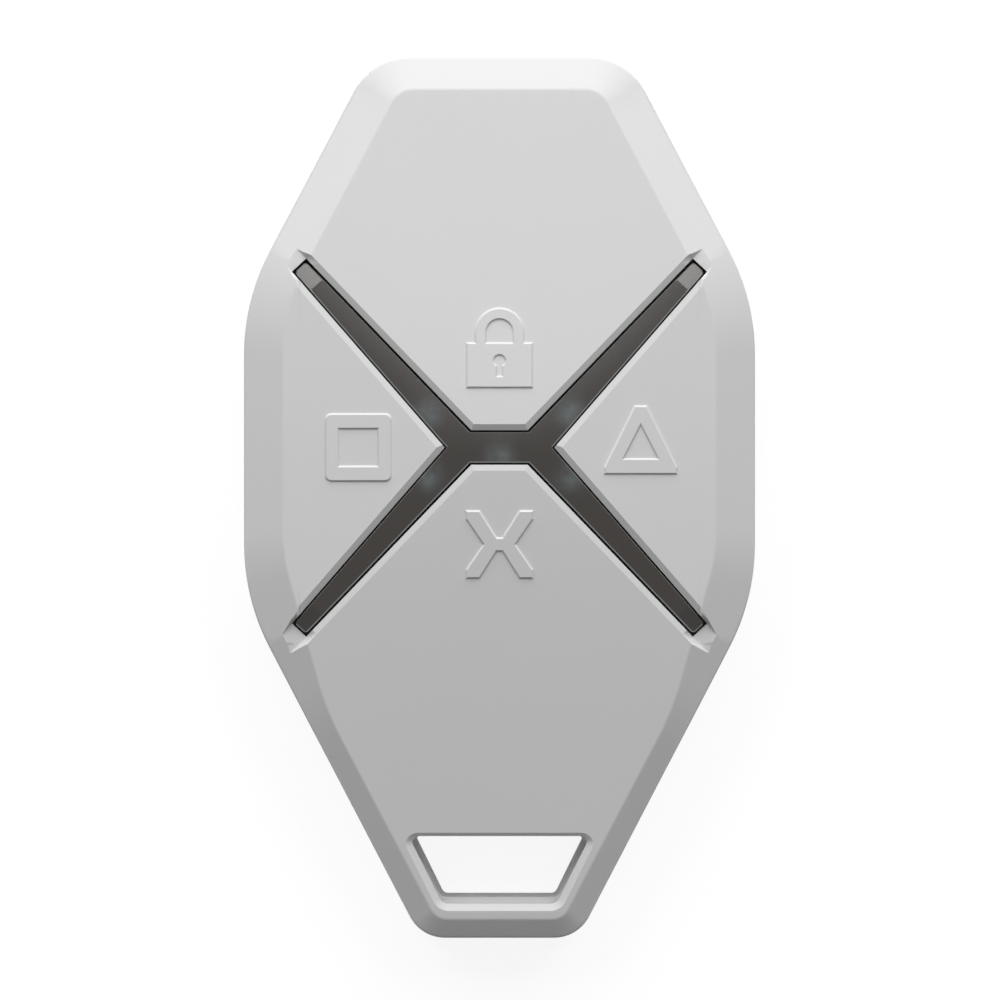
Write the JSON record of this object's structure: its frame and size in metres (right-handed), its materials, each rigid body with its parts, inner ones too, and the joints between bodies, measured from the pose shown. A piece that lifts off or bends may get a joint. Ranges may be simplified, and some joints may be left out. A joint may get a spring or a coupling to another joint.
{
  "type": "alarm key fob",
  "caption": "Flat coffin-shaped alarm remote with a bevelled pale casing, flexing keys round a smoky X-shaped light guide, and a strap slot at one end.",
  "frame": {"origin": "centre of the flat back, under the middle of the casing's outline", "axes": "+X across the fob to the right, +Y along it from the strap slot to the far end, +Z out of the front"},
  "size_m": [0.0378, 0.065, 0.0108],
  "materials": {
    "casing_plastic": "fine matt moulded surface",
    "smoky_plastic": "smoky translucent, smooth",
    "board_laminate": "green solder mask",
    "black_plastic": "matt black moulded",
    "steel": "nickel plated",
    "cell_metal": null,
    "seal_plastic": "moulded seal ring",
    "brass": "spring brass strip",
    "lamp_resin": "clear cast resin on a white base",
    "chip_ceramic": "fired ceramic with tinned ends"
  },
  "bodies": {
    "casing": {"front_cover": "casing_plastic", "rear_cover": "casing_plastic", "light_guide": "smoky_plastic", "circuit_board": "board_laminate", "switch_bases": "black_plastic", "switch_frames": "steel", "status_leds": "lamp_resin", "radio_chip": "black_plastic", "control_chip": "black_plastic", "crystal": "steel", "chip_capacitors": "chip_ceramic", "chip_resistors": "chip_ceramic", "antenna": "brass", "battery_positive_clip": "brass", "battery_negative_contact": "brass", "coin_cell_can": "steel", "coin_cell_cap": "cell_metal", "coin_cell_seal": "seal_plastic", "cover_screws": "steel"},
    "top_key": {"top_key": "casing_plastic"},
    "left_key": {"left_key": "casing_plastic"},
    "right_key": {"right_key": "casing_plastic"},
    "bottom_key": {"bottom_key": "casing_plastic"},
    "top_plunger": {"top_plunger": "black_plastic"},
    "left_plunger": {"left_plunger": "black_plastic"},
    "right_plunger": {"right_plunger": "black_plastic"},
    "bottom_plunger": {"bottom_plunger": "black_plastic"}
  },
  "joints": [
    {"name": "top_key_press", "type": "hinge", "parent": "casing", "child": "top_key", "pos_m": [0, 0.01693, 0.0096], "axis": [1, 0, 0], "range_deg": [0, 2.28], "stiffness_Nm_per_rad": 0.25},
    {"name": "top_plunger_press", "type": "slide", "parent": "casing", "child": "top_plunger", "axis": [0, 0, -1], "range_m": [0, 0.00025]},
    {"name": "bottom_key_press", "type": "hinge", "parent": "casing", "child": "bottom_key", "pos_m": [0, -0.00963, 0.0096], "axis": [-1, 0, 0], "range_deg": [0, 2.28], "stiffness_Nm_per_rad": 0.25},
    {"name": "bottom_plunger_press", "type": "slide", "parent": "casing", "child": "bottom_plunger", "axis": [0, 0, -1], "range_m": [0, 0.00025]},
    {"name": "right_key_press", "type": "hinge", "parent": "casing", "child": "right_key", "pos_m": [0.01463, 0.00365, 0.00974], "axis": [0, -1, 0], "range_deg": [0, 2.79], "stiffness_Nm_per_rad": 0.25},
    {"name": "right_plunger_press", "type": "slide", "parent": "casing", "child": "right_plunger", "axis": [0, 0, -1], "range_m": [0, 0.00025]},
    {"name": "left_key_press", "type": "hinge", "parent": "casing", "child": "left_key", "pos_m": [-0.01463, 0.00365, 0.00974], "axis": [0, 1, 0], "range_deg": [0, 2.79], "stiffness_Nm_per_rad": 0.25},
    {"name": "left_plunger_press", "type": "slide", "parent": "casing", "child": "left_plunger", "axis": [0, 0, -1], "range_m": [0, 0.00025]}
  ],
  "couplings": [
    {"joint": "top_plunger_press", "follows": "top_key_press", "m_per_rad": 0.00628},
    {"joint": "bottom_plunger_press", "follows": "bottom_key_press", "m_per_rad": 0.00628},
    {"joint": "right_plunger_press", "follows": "right_key_press", "m_per_rad": 0.00513},
    {"joint": "left_plunger_press", "follows": "left_key_press", "m_per_rad": 0.00513}
  ]
}
